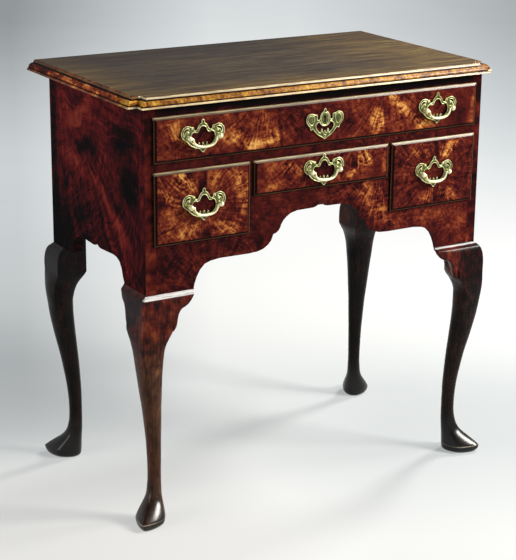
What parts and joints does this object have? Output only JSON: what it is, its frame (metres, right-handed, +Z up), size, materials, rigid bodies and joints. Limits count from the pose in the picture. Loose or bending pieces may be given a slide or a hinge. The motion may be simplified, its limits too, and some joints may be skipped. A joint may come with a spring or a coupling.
{
  "type": "lowboy",
  "caption": "Walnut lowboy: a moulded top over one long and three short lipped drawers with swinging brass bails, shaped aprons and slender cabriole legs on pointed pad feet.",
  "frame": {"origin": "on the floor, under the middle of the whole box", "axes": "+Z up, the front with its drawers faces -Y, +X to the right seen from the front"},
  "size_m": [0.697, 0.4076, 0.711],
  "materials": {
    "walnut_top": "polished olive brown walnut, straight grain along the length",
    "walnut_edge": "polished orange brown cross-grained walnut moulding",
    "walnut_front": "french polished red brown burr and flame walnut veneer",
    "walnut_side": "polished dark red brown walnut with a diagonal flame",
    "walnut_leg": "glossy dark walnut",
    "oak": "unpolished oak",
    "brass": "cast, polished, pale yellow brass with dark crevices",
    "iron": "dull wrought iron"
  },
  "bodies": {
    "carcase": {"top_board": "walnut_top", "top_moulding_front": "walnut_edge", "top_moulding_left": "walnut_edge", "top_moulding_right": "walnut_edge", "side_left": "walnut_side", "side_right": "walnut_side", "back_panel": "oak", "front_apron": "walnut_front", "top_front_rail": "walnut_front", "middle_rail": "walnut_front", "drawer_divider_left": "walnut_front", "drawer_divider_right": "walnut_front", "runner_inner_left": "oak", "runner_outer_left": "oak", "runner_top_left": "oak", "runner_inner_right": "oak", "runner_outer_right": "oak", "runner_top_right": "oak", "centre_dustboard": "oak", "leg_front_left": "walnut_leg", "leg_front_right": "walnut_leg", "leg_back_left": "walnut_leg", "leg_back_right": "walnut_leg", "knee_bracket_left_front": "walnut_leg", "knee_bracket_left_side": "walnut_leg", "knee_bracket_right_front": "walnut_leg", "knee_bracket_right_side": "walnut_leg"},
    "drawer_top": {"drawer_top_front": "walnut_front", "drawer_top_side_left": "oak", "drawer_top_side_right": "oak", "drawer_top_back": "oak", "drawer_top_bottom": "oak", "backplate_top_left": "brass", "backplate_top_right": "brass", "escutcheon": "brass", "lock_case": "iron"},
    "drawer_left": {"drawer_left_front": "walnut_front", "drawer_left_side_left": "oak", "drawer_left_side_right": "oak", "drawer_left_back": "oak", "drawer_left_bottom": "oak", "backplate_left": "brass"},
    "drawer_centre": {"drawer_centre_front": "walnut_front", "drawer_centre_side_left": "oak", "drawer_centre_side_right": "oak", "drawer_centre_back": "oak", "drawer_centre_bottom": "oak", "backplate_centre": "brass"},
    "drawer_right": {"drawer_right_front": "walnut_front", "drawer_right_side_left": "oak", "drawer_right_side_right": "oak", "drawer_right_back": "oak", "drawer_right_bottom": "oak", "backplate_right": "brass"},
    "bail_top_left": {"bail_top_left": "brass"},
    "bail_top_right": {"bail_top_right": "brass"},
    "bail_left": {"bail_left": "brass"},
    "bail_centre": {"bail_centre": "brass"},
    "bail_right": {"bail_right": "brass"},
    "lock_bolt": {"lock_bolt": "iron"}
  },
  "joints": [
    {"name": "drawer_top_slide", "type": "slide", "parent": "carcase", "child": "drawer_top", "axis": [0, -1, 0], "range_m": [0, 0.24]},
    {"name": "drawer_left_slide", "type": "slide", "parent": "carcase", "child": "drawer_left", "axis": [0, -1, 0], "range_m": [0, 0.24]},
    {"name": "drawer_centre_slide", "type": "slide", "parent": "carcase", "child": "drawer_centre", "axis": [0, -1, 0], "range_m": [0, 0.24]},
    {"name": "drawer_right_slide", "type": "slide", "parent": "carcase", "child": "drawer_right", "axis": [0, -1, 0], "range_m": [0, 0.24]},
    {"name": "bail_top_left_swing", "type": "hinge", "parent": "drawer_top", "child": "bail_top_left", "pos_m": [-0.22525, -0.1961, 0.643], "axis": [-1, 0, 0], "range_deg": [-12, 160]},
    {"name": "bail_top_right_swing", "type": "hinge", "parent": "drawer_top", "child": "bail_top_right", "pos_m": [0.22525, -0.1961, 0.643], "axis": [-1, 0, 0], "range_deg": [-12, 160]},
    {"name": "bail_left_swing", "type": "hinge", "parent": "drawer_left", "child": "bail_left", "pos_m": [-0.22325, -0.1961, 0.53325], "axis": [-1, 0, 0], "range_deg": [-12, 160]},
    {"name": "bail_centre_swing", "type": "hinge", "parent": "drawer_centre", "child": "bail_centre", "pos_m": [0, -0.1961, 0.56325], "axis": [-1, 0, 0], "range_deg": [-12, 160]},
    {"name": "bail_right_swing", "type": "hinge", "parent": "drawer_right", "child": "bail_right", "pos_m": [0.22325, -0.1961, 0.53325], "axis": [-1, 0, 0], "range_deg": [-12, 160]},
    {"name": "lock_bolt_throw", "type": "slide", "parent": "drawer_top", "child": "lock_bolt", "axis": [0, 0, 1], "range_m": [0, 0.006]}
  ]
}
